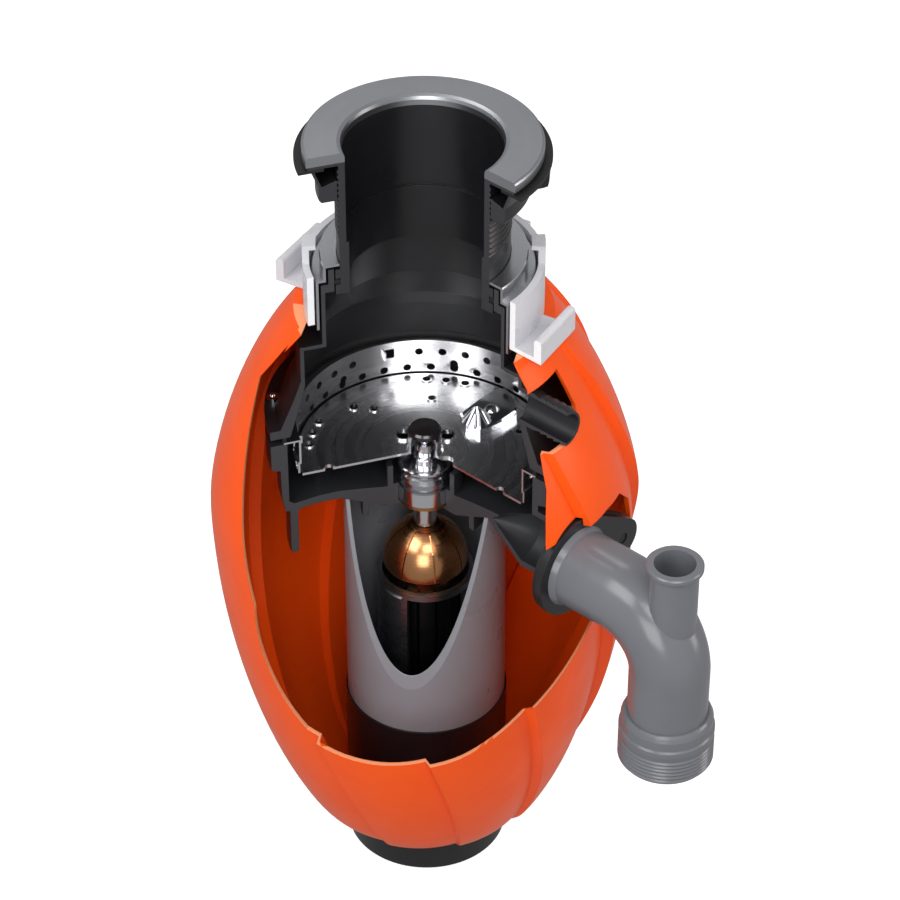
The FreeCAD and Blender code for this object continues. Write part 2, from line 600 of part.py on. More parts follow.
def winding_crown():
    """Domed upper windings with a seam between each pair of coils."""
    skirt = WINDING_LOW + 4.0
    outline = Part.Wire([
        Part.LineSegment(Vec(SPINDLE_RADIUS + 0.3, 0, ARMATURE_HIGH), Vec(15.5, 0, ARMATURE_HIGH)).toShape(),
        Part.LineSegment(Vec(15.5, 0, ARMATURE_HIGH), Vec(16.5, 0, WINDING_LOW - 1.0)).toShape(),
        Part.LineSegment(Vec(16.5, 0, WINDING_LOW - 1.0), Vec(WINDING_RADIUS, 0, skirt)).toShape(),
        Part.Arc(Vec(WINDING_RADIUS, 0, skirt), Vec(17.9, 0, skirt + 15.5),
                 Vec(SHAFT_RADIUS + 0.6, 0, WINDING_HIGH)).toShape(),
        Part.LineSegment(Vec(SHAFT_RADIUS + 0.6, 0, WINDING_HIGH), Vec(SPINDLE_RADIUS + 0.3, 0, WINDING_LOW + 2.0)).toShape(),
        Part.LineSegment(Vec(SPINDLE_RADIUS + 0.3, 0, WINDING_LOW + 2.0), Vec(SPINDLE_RADIUS + 0.3, 0, ARMATURE_HIGH)).toShape()])
    crown = Part.Face(outline).revolve(Vec(0, 0, 0), Vec(0, 0, 1), 360)
    seam = Part.makeBox(14.0, 0.7, 60.0, Vec(9.6, -0.35, WINDING_LOW + 2.0))
    core = turned([(0, 100.0), (WINDING_RADIUS - 1.0, 100.0), (WINDING_RADIUS - 1.0, skirt),
                   (16.9, skirt + 14.8), (9.6, skirt + 22.0), (9.6, 230.0), (0, 230.0)])
    blades = [turn(seam, 360.0 * i / WINDING_SEAMS + 10.0).cut(core) for i in range(WINDING_SEAMS)]
    keep("upper_windings", crown.cut(Part.makeCompound(blades)))


def bearings():
    shaft = SHAFT_RADIUS - SHAFT_STEP
    out = SEAL_BORE - TUBE_CLEAR
    low = BEARING_SEAT + 8.2
    top = HUB_COLLAR_TOP - 2.6
    seal = turned([
        (shaft + 0.06, low), (out, low), (out, low + 0.7), (out - 1.3, low + 1.2), (out - 1.3, low + 2.0),
        (out - 0.2, low + 2.8), (out - 0.1, low + 5.6), (out - 0.8, top - 1.6), (out - 2.6, top - 0.4),
        (out - 6.4, top), (shaft + 0.06, top - 0.5)])
    keep("shaft_seal", seal)
    washer = ring(shaft + 0.5, out - 0.3, BEARING_SEAT - WASHER_THICK, BEARING_SEAT + 0.05)
    keep("bearing_washer", washer)
    race = [ring(shaft + 0.02, shaft + 2.2, BEARING_SEAT + 0.1, BEARING_SEAT + 8.1),
            ring(out - 2.2, out, BEARING_SEAT + 0.1, BEARING_SEAT + 8.1)]
    keep("top_bearing_races", group(race))
    circle = (shaft + 2.2 + out - 2.2) / 2
    radius = (out - 2.2 - shaft - 2.2) / 2 - 0.02
    balls = [Part.makeSphere(radius, polar(circle, 360.0 * i / 8, BEARING_SEAT + 4.1)) for i in range(8)]
    keep("top_bearing_balls", group(balls))
    low = CAN_BOTTOM - 8.0
    bush = ring(JOURNAL_RADIUS + 0.03, 9.0, low, CAN_BOTTOM)
    keep("lower_bearing", bush)


# ---- lower chamber ---------------------------------------------------------------------------
def lower_chamber():
    r = CHAMBER_RADIUS
    out = r + CHAMBER_WALL
    collar = SEAL_BORE + COLLAR_WALL
    cup = SEAL_BORE + COLLAR_CUP
    ledge = SHAFT_RADIUS + 4.5
    seat = BEARING_SEAT - WASHER_THICK - 0.02
    under = TUBE_RADIUS + 3.0
    body = turned([
        (r, JOINT_Z), (r, CHAMBER_FLOOR + 2.0), (r - 3.0, CHAMBER_FLOOR), (55.0, CHAMBER_FLOOR + 2.0),
        (45.0, CHAMBER_FLOOR + 2.2), (34.0, CHAMBER_FLOOR + 1.0), (collar, CHAMBER_FLOOR - 1.0),
        (collar, HUB_COLLAR_TOP), (cup, HUB_COLLAR_TOP), (cup, CHAMBER_FLOOR), (SEAL_BORE, CHAMBER_FLOOR),
        (SEAL_BORE, seat), (ledge, seat), (ledge, HUB_BOTTOM), (21.0, HUB_BOTTOM), (under, 233.6),
        (55.0, 233.6), (64.0, 232.6), (67.0, 231.0), (out - 2.0, 232.0), (out - 0.4, 240.0),
        (out, CHAMBER_RIM_LOW), (RIM_FLANGE, CHAMBER_RIM_LOW + 1.5), (RIM_FLANGE, JOINT_Z)])
    rib = ring(30.0, 33.0, HUB_BOTTOM - 3.4, CHAMBER_FLOOR - 6.0)
    axis = Vec(1, 0, 0)
    boss_out = OUTLET_BORE + OUTLET_WALL
    nozzle = OUTLET_START - NOZZLE_START
    tip = Vec(NOZZLE_START, 0, OUTLET_Z)
    root = Vec(OUTLET_START, 0, OUTLET_Z)
    boss = fuse([Part.makeCone(1.0, boss_out, nozzle, tip, axis),
                 Part.makeCylinder(boss_out, OUTLET_FACE - OUTLET_START, root, axis)])
    inside = turned([
        (collar, 300.0), (collar, CHAMBER_FLOOR - 1.0), (34.0, CHAMBER_FLOOR + 1.0),
        (45.0, CHAMBER_FLOOR + 2.2), (55.0, CHAMBER_FLOOR + 2.0), (r - 3.0, CHAMBER_FLOOR),
        (r, CHAMBER_FLOOR + 2.0), (r, 300.0)])
    bore = fuse([Part.makeCone(0.5, OUTLET_BORE, nozzle - 4.0, tip + Vec(4.0, 0, 0), axis),
                 Part.makeCylinder(OUTLET_BORE, 60.0, root, axis)])
    legs = []
    for at in LEG_AT:
        leg = ring(r - 4.3, r - 0.3, LEG_LOW, 234.0).common(sector(at - 6.0, at + 6.0))
        legs.append(leg)
    flange = flange_plate(OUTLET_FACE - PLATE_THICK, OUTLET_FACE, OUTLET_BORE)
    body = fuse([body, rib, boss.cut(inside)] + legs + [flange]).cut(bore)
    holes = [rod(1.75, JOINT_Z - 13.0, JOINT_Z + 1.0, *polar(SCREW_CIRCLE, at)[:2]) for at in SCREW_AT]
    ear_hole = Part.makeCylinder(1.9, 20.0, Vec(OUTLET_FACE - 14.0, EAR_Y, OUTLET_Z - EAR_DROP), axis)
    pad = Part.makeCylinder(EAR_RADIUS - 3.0, 12.0, Vec(OUTLET_FACE - 14.0, EAR_Y, OUTLET_Z - EAR_DROP), axis)
    body = body.fuse(pad.cut(ring(0.01, r + 1.0, 200.0, 260.0)))
    keep("lower_chamber", opened(body.cut(Part.makeCompound(holes + [ear_hole]))))


def flange_plate(x0, x1, bore):
    """Round plate with one screw ear, standing square to the outlet's axis."""
    z = OUTLET_Z
    reach = math.hypot(EAR_Y, EAR_DROP)
    lean = math.atan2(-EAR_DROP, EAR_Y)
    spread = math.acos((PLATE_RADIUS - EAR_RADIUS) / reach)
    corners = []
    for side in (1, -1):
        a = lean + side * spread
        dy, dz = math.cos(a), math.sin(a)
        pair = [Vec(x0, PLATE_RADIUS * dy, z + PLATE_RADIUS * dz),
                Vec(x0, EAR_Y + EAR_RADIUS * dy, z - EAR_DROP + EAR_RADIUS * dz)]
        corners += pair if side == 1 else pair[::-1]
    axis = Vec(1, 0, 0)
    disc = Part.makeCylinder(PLATE_RADIUS, x1 - x0, Vec(x0, 0, z), axis)
    ear = Part.makeCylinder(EAR_RADIUS, x1 - x0, Vec(x0, EAR_Y, z - EAR_DROP), axis)
    web = slab(corners, Vec(0, 0, 0), Vec(x1 - x0, 0, 0))
    return fuse([disc, ear, web]).cut(Part.makeCylinder(bore, x1 - x0 + 2.0, Vec(x0 - 1.0, 0, z), axis))


# ---- drain elbow -----------------------------------------------------------------------------
def drain_elbow():
    face = OUTLET_FACE + OUTLET_SEAL
    axis = Vec(1, 0, 0)
    bend_x = ELBOW_DROP_X - ELBOW_BEND
    bend_z = OUTLET_Z - ELBOW_BEND

    def pipe(radius, start):
        run = Part.makeCylinder(radius, bend_x - start, Vec(start, 0, OUTLET_Z), axis)
        drop = rod(radius, ELBOW_END_Z, bend_z, ELBOW_DROP_X, 0)
        bend = Part.makeTorus(ELBOW_BEND, radius, Vec(bend_x, 0, bend_z), Vec(0, 1, 0))
        corner = Part.makeBox(200.0, 100.0, 200.0, Vec(bend_x, -50.0, bend_z))
        return fuse([run, drop, bend.common(corner)])

    rim = Part.makeCylinder(ELBOW_RADIUS + ELBOW_LIP, ELBOW_LIP_THICK, Vec(face, 0, OUTLET_Z), axis)
    spout = rod(SPOUT_RADIUS, OUTLET_Z - 6.0, SPOUT_TOP, ELBOW_DROP_X, 0)
    lip = turned([(SPOUT_RADIUS - 0.5, SPOUT_TOP - 5.0), (SPOUT_RADIUS + SPOUT_LIP, SPOUT_TOP - 2.6),
                  (SPOUT_RADIUS + SPOUT_LIP, SPOUT_TOP - 0.7), (SPOUT_RADIUS + SPOUT_LIP - 0.7, SPOUT_TOP),
                  (SPOUT_RADIUS - 0.5, SPOUT_TOP)]).translated(Vec(ELBOW_DROP_X, 0, 0))
    collar = Part.makeCone(ELBOW_RADIUS + 1.6, ELBOW_RADIUS - 0.2, 3.6,
                           Vec(face + PLATE_THICK + 0.1, 0, OUTLET_Z), axis)
    body = fuse([pipe(ELBOW_RADIUS, face), rim, spout, lip, collar])
    bore = pipe(ELBOW_RADIUS - ELBOW_WALL, face - 1.0)
    end = rod(ELBOW_RADIUS - ELBOW_WALL, ELBOW_END_Z - 1.0, ELBOW_END_Z + 2.0, ELBOW_DROP_X, 0)
    top_bore = rod(SPOUT_BORE, OUTLET_Z, SPOUT_TOP + 1.0, ELBOW_DROP_X, 0)
    keep("drain_elbow", body.cut(bore).cut(end).cut(top_bore))

    at = Vec(0, EAR_Y, OUTLET_Z - EAR_DROP)
    seat = face + 1.6
    room = Part.makeCylinder(ELBOW_RADIUS + ELBOW_LIP + TUBE_CLEAR, ELBOW_LIP_THICK + 1.02,
                             Vec(face - 1.0, 0, OUTLET_Z), axis)
    clamp = flange_plate(face + 0.02, face + PLATE_THICK, ELBOW_RADIUS + TUBE_CLEAR).cut(room)
    clamp = clamp.cut(Part.makeCylinder(1.9, 20.0, at + Vec(face - 5.0, 0, 0), axis))
    clamp = clamp.cut(Part.makeCylinder(EAR_HOLE, 9.0, at + Vec(seat, 0, 0), axis))
    keep("elbow_clamp", clamp)

    seal = Part.makeCylinder(PLATE_RADIUS - 0.6, OUTLET_SEAL, Vec(OUTLET_FACE, 0, OUTLET_Z), axis)
    seal = seal.cut(Part.makeCylinder(OUTLET_BORE, OUTLET_SEAL + 2.0, Vec(OUTLET_FACE - 1.0, 0, OUTLET_Z), axis))
    keep("outlet_seal", seal)

    head = Part.makeCylinder(EAR_HOLE - 0.3, PLATE_THICK - 2.1, at + Vec(seat + 0.02, 0, 0), axis)
    shank = Part.makeCylinder(1.8, 14.6 + OUTLET_SEAL, at + Vec(OUTLET_FACE - 12.4, 0, 0), axis)
    keep("outlet_screw", fuse([head, shank]))

    ring_low = COUPLER_LOW
    thread = ridges(COUPLER_RADIUS - 0.7, 0.7, COUPLER_PITCH, ring_low + 1.2, COUPLER_SHOULDER - 5.0)
    bore_r = ELBOW_RADIUS + TUBE_CLEAR
    coupler = turned(
        [(ELBOW_RADIUS - ELBOW_WALL, ring_low), (COUPLER_RADIUS - 1.6, ring_low)] + thread
        + [(COUPLER_RADIUS, COUPLER_SHOULDER - 3.6), (COUPLER_RADIUS, COUPLER_SHOULDER - 1.0),
           (COUPLER_RADIUS - 0.9, COUPLER_SHOULDER), (COUPLER_RADIUS - 0.9, COUPLER_HIGH - 3.4),
           (COUPLER_RADIUS - 1.8, COUPLER_HIGH - 1.2), (ELBOW_RADIUS + 1.2, COUPLER_HIGH), (bore_r, COUPLER_HIGH),
           (bore_r, ELBOW_END_Z - 0.02), (ELBOW_RADIUS - ELBOW_WALL, ELBOW_END_Z - 0.02)])
    keep("drain_coupler", coupler.translated(Vec(ELBOW_DROP_X, 0, 0)))


# ---- motor -----------------------------------------------------------------------------------
def motor_housing():
    socket = FOOT_TOP - SOCKET_DEPTH
    inner = FOOT_RADIUS - FOOT_WALL
    lap = TUBE_RADIUS + TUBE_CLEAR
    pedestal = CAN_RADIUS + 2.0
    foot = turned([
        (0, 0), (FOOT_RADIUS - 1.5, 0), (FOOT_RADIUS, 1.5), (FOOT_RADIUS, FOOT_TOP), (lap, FOOT_TOP),
        (lap, socket), (inner, socket - 1.0), (inner, FOOT_FLOOR), (pedestal, FOOT_FLOOR),
        (pedestal, CAN_BOTTOM + 6.0), (CAN_RADIUS + TUBE_CLEAR, CAN_BOTTOM + 6.0),
        (CAN_RADIUS + TUBE_CLEAR, CAN_BOTTOM - 0.02), (CAN_RADIUS - 4.0, CAN_BOTTOM - 0.02),
        (CAN_RADIUS - 4.0, FOOT_FLOOR), (0, FOOT_FLOOR)])
    shoulder = ring(FOOT_RADIUS - 0.5, CASE_FOOT_HOLE + 1.4, CASE_BOTTOM - 3.0, CASE_BOTTOM - 0.02)
    x, y = BUTTON_AT
    recess = rod(BUTTON_RADIUS + 3.0, -1.0, 3.0, x, y).fuse(rod(BUTTON_RADIUS + 0.08, -1.0, 20.0, x, y))
    foot = fuse([foot, shoulder]).cut(recess)
    keep("motor_foot", foot)
    tube = ring(TUBE_RADIUS - TUBE_WALL, TUBE_RADIUS, socket, TUBE_TOP)
    keep("motor_tube", tube.cut(slanting_cut()))


def slanting_cut():
    """Everything in front of the steep plane that opens the motor tube."""
    middle = (WEDGE_START + WEDGE_END) / 2
    side = TUBE_RADIUS * math.cos(math.radians(60.0))
    rise = (TUBE_CUT_HIGH - TUBE_CUT_LOW) / (TUBE_RADIUS - side)
    top = TUBE_CUT_HIGH + 40.0
    near = side - 40.0 / rise
    corners = [Vec(TUBE_RADIUS, -200, TUBE_CUT_LOW), Vec(near, -200, top), Vec(300, -200, top),
               Vec(300, -200, TUBE_CUT_LOW - 300.0 / rise * 0)]
    return turn(slab(corners, Vec(0, 0, 0), Vec(0, 400, 0)), middle)


def motor_parts():
    inner = CAN_RADIUS - CAN_WALL
    can = turned([
        (10.0, CAN_BOTTOM), (CAN_RADIUS, CAN_BOTTOM), (CAN_RADIUS, CAN_TOP), (inner - 0.9, CAN_TOP),
        (inner - 0.9, CAN_TOP - 2.0), (inner, CAN_TOP - 3.0), (inner, CAN_BOTTOM + 2.0),
        (10.0, CAN_BOTTOM + 2.0)])
    window = sector(CAN_WINDOW_FROM, CAN_WINDOW_TO, CAN_BOTTOM + 12.0, CAN_TOP - 4.0)
    strap = ring(CAN_RADIUS - 0.4, CAN_RADIUS + 0.9, CAN_BOTTOM + 7.0, CAN_TOP - 4.0)
    strap = strap.common(sector(-101.0, -77.0))
    can = fuse([can, strap]).cut(window).cut(rod(9.1, 0.0, 100.0))
    keep("motor_can", can)
    magnets = []
    m_in = ARMATURE_RADIUS + MAGNET_CLEAR
    for start in (20.0, 110.0, 200.0):
        band = ring(m_in, inner - 0.02, ARMATURE_LOW + 4.0, ARMATURE_HIGH - 4.0)
        magnets.append(band.common(sector(start + 4.0, start + 86.0)))
    keep("field_magnets", group(magnets))
    brush_gear()
    protector()


def brush_gear():
    """Two carbon brushes with their springs, in boxes on a card above the can's floor."""
    card_low = CAN_BOTTOM + 2.0
    inner = CAN_RADIUS - CAN_WALL
    card = ring(9.2, inner - 0.05, card_low, card_low + 2.0)
    mid = (COMMUTATOR_LOW + COMMUTATOR_HIGH) / 2 - 1.0
    boxes, brushes, springs = [], [], []
    for at in (115.0, 295.0):
        shell = Part.makeBox(9.6, 7.0, 8.0, Vec(COMMUTATOR_RADIUS + 2.2, -3.5, mid - 4.0))
        hole = Part.makeBox(9.6, 5.06, 6.06, Vec(COMMUTATOR_RADIUS + 0.6, -2.53, mid - 3.03))
        leg = Part.makeBox(5.0, 7.0, mid - 4.0 - card_low - 2.0, Vec(COMMUTATOR_RADIUS + 4.0, -3.5, card_low + 2.0))
        boxes.append(turn(fuse([shell, leg]).cut(hole), at))
        brush = Part.makeBox(6.4, 5.0, 6.0, Vec(COMMUTATOR_RADIUS + 0.05, -2.5, mid - 3.0))
        brushes.append(turn(brush, at))
        spring = Part.makeCylinder(1.9, 3.4, Vec(COMMUTATOR_RADIUS + 6.5, 0, mid), Vec(1, 0, 0))
        springs.append(turn(spring, at))
    keep("brush_card", fuse([card] + boxes))
    keep("brushes", group(brushes))
    keep("brush_springs", group(springs))


def protector():
    """Overload protector in the foot, with the reset button that comes out underneath."""
    x, y = BUTTON_AT
    r = BUTTON_RADIUS
    button = fuse([rod(r, 1.2, FOOT_FLOOR + 2.0, x, y), rod(r + 1.6, FOOT_FLOOR + 0.3, FOOT_FLOOR + 2.0, x, y),
                   rod(1.6, FOOT_FLOOR + 2.0, FOOT_FLOOR + 5.0, x, y)])
    keep("reset_button", button)
    spring = turned([(2.2, FOOT_FLOOR + 2.1), (3.4, FOOT_FLOOR + 2.1), (3.4, FOOT_FLOOR + 7.9),
                     (2.2, FOOT_FLOOR + 7.9)]).translated(Vec(x, y, 0))
    keep("reset_spring", spring)
    box = Part.makeBox(11.0, 18.0, 22.0, Vec(x + 0.6 - 5.5, y - 9.0, FOOT_FLOOR + 8.0))
    feet = [Part.makeBox(11.0, 1.6, 8.0, Vec(x + 0.6 - 5.5, y + s, FOOT_FLOOR)) for s in (-9.0, 7.4)]
    box = fuse([box] + feet).cut(rod(1.9, FOOT_FLOOR + 4.0, FOOT_FLOOR + 14.0, x, y))
    keep("overload_protector", box.common(rod(FOOT_RADIUS - FOOT_WALL - 0.4, 0.0, 90.0)))


# ---- casing ----------------------------------------------------------------------------------
def case_radius(z):
    up = z > CASE_EQUATOR_Z
    share = abs(z - CASE_EQUATOR_Z) / (CASE_UP if up else CASE_DOWN)
    tuck = max(0.0, 1.0 - (z - CASE_BOTTOM) / CASE_TUCK_HIGH)
    swell = math.sqrt(1.0 - share ** (CASE_UP_POWER if up else CASE_DOWN_POWER))
    return CASE_RADIUS * swell - CASE_TUCK * tuck ** 2


def case_section(z, inset):
    """One level of the egg: ten arcs that each shrink inwards, joined by short steps."""
    share = (z - CASE_BOTTOM) / (CASE_TOP - CASE_BOTTOM)
    step = CASE_STEP * (0.25 + 0.75 * math.sin(math.pi * share) ** 0.6)
    radius = case_radius(z) - inset
    first = CASE_CREASE + CASE_TWIST * (CASE_CREASE_Z - z)
    panel = 360.0 / CASE_PANELS
    lap = 1.6
    edges = []
    for i in range(CASE_PANELS):
        a = first + i * panel
        start = polar(radius + step / 2, a + lap, z)
        middle = polar(radius + 0.2 * step, a + panel / 2, z)
        end = polar(radius - step / 2, a + panel, z)
        after = polar(radius + step / 2, a + panel + lap, z)
        edges.append(Part.Arc(start, middle, end).toShape())
        edges.append(Part.LineSegment(end, after).toShape())
    return Part.Wire(edges)


def case_levels(low, high):
    middle = (29.0, 35.0, 42.0, 55.0, 76.0, 105.0, 140.0, 175.0, 205.0, 232.0, 258.0, 284.0, 306.0, 324.0, 336.0)
    return [low] + [z for z in middle] + [high]


def casing():
    outer = Part.makeLoft([case_section(z, 0.0) for z in case_levels(CASE_BOTTOM, CASE_TOP)], True, False)
    low, high = CASE_BOTTOM + CASE_WALL, CASE_TOP - CASE_WALL
    inner = Part.makeLoft([case_section(z, CASE_WALL) for z in case_levels(low, high)], True, False)
    shell = outer.cut(inner)
    shell = shell.cut(rod(CASE_TOP_HOLE, 300.0, 400.0)).cut(rod(CASE_FOOT_HOLE, 0.0, 60.0))
    shell = shell.cut(case_opening()).cut(elbow_window()).cut(inlet_window())
    keep("swirl_casing", shell.cut(clamp_relief()))


def clamp_relief():
    """Room inside the shell for the round of the clamp plate."""
    far = OUTLET_FACE + OUTLET_SEAL + PLATE_THICK + 0.4
    return Part.makeCylinder(PLATE_RADIUS + 1.2, far - 60.0, Vec(60.0, 0, OUTLET_Z), Vec(1, 0, 0))


def case_opening():
    """Prism that lays the front of the casing open, drawn square to CASE_CUT_AT."""
    side = polar(1.0, CASE_CUT_AT + 90.0)
    out = polar(1.0, CASE_CUT_AT)

    def at(s, z):
        return Vec(side.x * s, side.y * s, z)

    line = [(-48.0, 420.0), (-50.0, 346.0), (-62.0, 331.0), (-75.0, 312.0)]
    left = [at(s, z) for s, z in line]
    edges = [Part.LineSegment(a, b).toShape() for a, b in zip(left, left[1:])]
    rim = [((-75.0, 312.0), (-78.5, 262.0), (-70.5, 200.0)), ((-70.5, 200.0), (-62.5, 157.0), (-44.0, 129.0)),
           ((-44.0, 129.0), (-4.0, 122.5), (37.0, 131.0)), ((37.0, 131.0), (70.0, 156.0), (99.0, 204.0))]
    for a, b, c in rim:
        edges.append(Part.Arc(at(*a), at(*b), at(*c)).toShape())
    line = [(99.0, 204.0), (92.0, 225.0), (75.0, 257.0), (72.5, 285.0), (67.9, 302.0), (59.5, 331.0),
            (46.0, 352.0), (46.0, 420.0), (-48.0, 420.0)]
    right = [at(s, z) for s, z in line]
    edges += [Part.LineSegment(a, b).toShape() for a, b in zip(right, right[1:])]
    return Part.Face(Part.Wire(edges)).extrude(Vec(out.x * 160.0, out.y * 160.0, 0))


def elbow_window():
    low, high = 203.0, 257.0
    reach = EAR_Y + EAR_RADIUS + 2.0
    corners = [Vec(60, -40.0, low), Vec(60, reach - 14.0, low), Vec(60, reach, low + 16.0),
               Vec(60, reach, high - 14.0), Vec(60, reach - 12.0, high - 2.0), Vec(60, 22.0, high),
               Vec(60, -40.0, high)]
    return slab(corners, Vec(0, 0, 0), Vec(80, 0, 0))


def inlet_window():
    low, high = INLET_Z - 12.5, INLET_Z + 16.0
    corners = [Vec(40, -30.0, low), Vec(40, 14.5, low), Vec(40, 20.0, low + 10.0), Vec(40, 17.5, high),
               Vec(40, -30.0, high)]
    return slab(corners, Vec(0, 0, 0), Vec(80, 0, 0))


def export():
    for name, shape in NODES.items():
        solids = shape.Solids
        shape = solids[0] if len(solids) == 1 else Part.makeCompound(solids)
        shape.exportStep("parts/" + name + ".step")
        print(name, len(solids), "solids", round(shape.Volume), shape.isValid())


sink_flange()
hopper()
mounting_ring(stamped_cap() + 1.0)
grind_ring()
turntable()
swivel_lug()
rotor()
bearings()
lower_chamber()
drain_elbow()
motor_housing()
motor_parts()
casing()
export()
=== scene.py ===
"""Kitchen garbage disposal, cut open for show: finishes, wound springs and studio."""

import math

import bpy
import numpy as np
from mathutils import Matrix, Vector


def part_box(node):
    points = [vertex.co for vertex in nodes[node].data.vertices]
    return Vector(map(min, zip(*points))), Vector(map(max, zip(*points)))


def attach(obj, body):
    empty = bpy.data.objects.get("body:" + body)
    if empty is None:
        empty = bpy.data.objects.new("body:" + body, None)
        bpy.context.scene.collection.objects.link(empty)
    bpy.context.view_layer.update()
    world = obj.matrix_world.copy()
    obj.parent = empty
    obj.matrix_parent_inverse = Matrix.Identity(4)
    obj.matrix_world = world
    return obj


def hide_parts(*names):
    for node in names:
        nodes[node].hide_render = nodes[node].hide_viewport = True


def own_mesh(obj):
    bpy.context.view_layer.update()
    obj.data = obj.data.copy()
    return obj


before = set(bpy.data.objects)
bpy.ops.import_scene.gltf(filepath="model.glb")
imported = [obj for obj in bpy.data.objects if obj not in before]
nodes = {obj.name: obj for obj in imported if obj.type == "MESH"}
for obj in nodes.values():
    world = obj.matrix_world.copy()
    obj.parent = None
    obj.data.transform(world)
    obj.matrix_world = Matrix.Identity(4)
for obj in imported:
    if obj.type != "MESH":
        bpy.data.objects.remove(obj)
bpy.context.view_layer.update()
MM = 0.001

# The display cut: a wedge out of the round parts, and the casing laid open towards the same side.
CUT_START, CUT_END = -120.0, 0.0    # the wedge, degrees about the axis
OPEN_ALONG = (0.5, -math.sin(math.radians(60.0)), 0.0)    # the way the casing is laid open
ON_CUT = 0.03 * MM                  # a point this near a face of the wedge lies on it
WALL_LEAN = 0.006                   # most that a wall of the opening leans, as a cosine
OPENING_FROM = 12.0 * MM            # those walls all lie further than this along OPEN_ALONG

# Patterns that several finishes share.
PATCH = 24.0 * MM                   # size of the patches of wear on a moulding
CLOUD = 30.0 * MM                   # size of the tone clouds on a metal
PATTERN_LOW, PATTERN_HIGH = 0.3, 0.7    # the part of a noise that spreads the roughness
PLASTIC_IOR = 1.5
COAT_ROUGHNESS = 0.12

# Springs.
BRUSH_AT = (115.0, 295.0)           # where the two brushes stand, degrees
BRUSH_SPRING_FROM = 17.0 * MM       # inner end of a brush spring, from the axis
BRUSH_SPRING_LONG = 3.4 * MM
BRUSH_WIRE, BRUSH_TURNS = 0.3 * MM, 3.5    # radius of the wire, turns of the coil
RESET_WIRE, RESET_TURNS = 0.4 * MM, 4.5
TURN_STEPS, WIRE_SIDES = 26, 10     # facets along one turn, and round the wire

# Studio, in metres and watts.
LIT_POINT = (0.0, 0.0, 0.22)        # the machine's middle, which every light faces
OPEN_SIDE = -48.0                   # where the viewer stands, degrees about the axis
SOFT_BOXES = (                      # name, (towards the viewer, to the right, up), width, height, power, tint
    ("key_box", (0.8, -0.9, 1.3), 0.9, 0.9, 14.0, "#FFFFFF"),
    ("front_box", (1.3, 0.25, 1.35), 0.9, 0.6, 9.5, "#FFFFFF"),
    ("opening_box", (0.95, -0.1, 0.25), 0.45, 0.45, 3.0, "#FFFFFF"),
    ("right_strip", (0.1, 1.1, 0.45), 0.35, 1.2, 5.0, "#FFF4F0"),
    ("back_strip", (-0.9, -0.4, 1.7), 1.2, 0.5, 5.0, "#FFFFFF"),
)
AIR_TINT, AIR_STRENGTH = "#F4F5F7", 0.42
FLOOR_REACH = 12.0
FLOOR_TONE, FLOOR_GLOW = "#D0D0D0", 0.72
CAMERA_AT = (0.9072, -0.9887, 1.2953)
CAMERA_AIM = (0.00939, 0.00845, 0.25355)
CAMERA_LENS, CAMERA_SENSOR = 135.0, 36.0    # millimetres
CAMERA_CLIP = (0.05, 60.0)


# ---- colour and node helpers -------------------------------------------------------------
def colour(code):
    """sRGB hex to a linear RGBA tuple."""
    raw = np.array([int(code[i:i + 2], 16) for i in (1, 3, 5)]) / 255.0
    linear = np.where(raw <= 0.04045, raw / 12.92, ((raw + 0.055) / 1.055) ** 2.4)
    return (*[float(v) for v in linear], 1.0)


def add(tree, kind, inputs=None, **settings):
    """Adds one node.  Inputs are values or sockets by name or number, settings its own options."""
    made = tree.nodes.new(kind)
    for key, value in settings.items():
        setattr(made, key, value)
    for key, value in (inputs or {}).items():
        if isinstance(value, bpy.types.NodeSocket):
            tree.links.new(value, made.inputs[key])
        else:
            made.inputs[key].default_value = value
    return made


def new_material(name):
    """An empty node tree with its output; returns (material, tree, output)."""
    made = bpy.data.materials.new(name)
    made.use_nodes = True
    made.node_tree.nodes.clear()
    return made, made.node_tree, add(made.node_tree, "ShaderNodeOutputMaterial")


def sawn_faces(tree, place):
    """1 on the two flat faces that the display cut left on the round parts, 0 elsewhere."""
    shares = []
    for degrees in (CUT_START, CUT_END):
        a = math.radians(degrees)
        across = add(tree, "ShaderNodeVectorMath", {0: place, 1: (-math.sin(a), math.cos(a), 0.0)},
                     operation="DOT_PRODUCT")
        along = add(tree, "ShaderNodeVectorMath", {0: place, 1: (math.cos(a), math.sin(a), 0.0)},
                    operation="DOT_PRODUCT")
        near = add(tree, "ShaderNodeMath", {0: across.outputs["Value"], 1: 0.0, 2: ON_CUT},
                   operation="COMPARE")
        ahead = add(tree, "ShaderNodeMath", {0: along.outputs["Value"], 1: 0.0}, operation="GREATER_THAN")
        both = add(tree, "ShaderNodeMath", {0: near.outputs[0], 1: ahead.outputs[0]}, operation="MULTIPLY")
        shares.append(both.outputs[0])
    return add(tree, "ShaderNodeMath", {0: shares[0], 1: shares[1]}, operation="MAXIMUM").outputs[0]


def laid_open_edges(tree, place):
    """1 on the walls of the casing's opening: they run along OPEN_ALONG, so they face square to it."""
    facing = add(tree, "ShaderNodeNewGeometry").outputs["True Normal"]
    lean = add(tree, "ShaderNodeVectorMath", {0: facing, 1: OPEN_ALONG}, operation="DOT_PRODUCT")
    ahead = add(tree, "ShaderNodeVectorMath", {0: place, 1: OPEN_ALONG}, operation="DOT_PRODUCT")
    square = add(tree, "ShaderNodeMath", {0: lean.outputs["Value"], 1: 0.0, 2: WALL_LEAN},
                 operation="COMPARE")
    front = add(tree, "ShaderNodeMath", {0: ahead.outputs["Value"], 1: OPENING_FROM},
                operation="GREATER_THAN")
    return add(tree, "ShaderNodeMath", {0: square.outputs[0], 1: front.outputs[0]},
               operation="MULTIPLY").outputs[0]


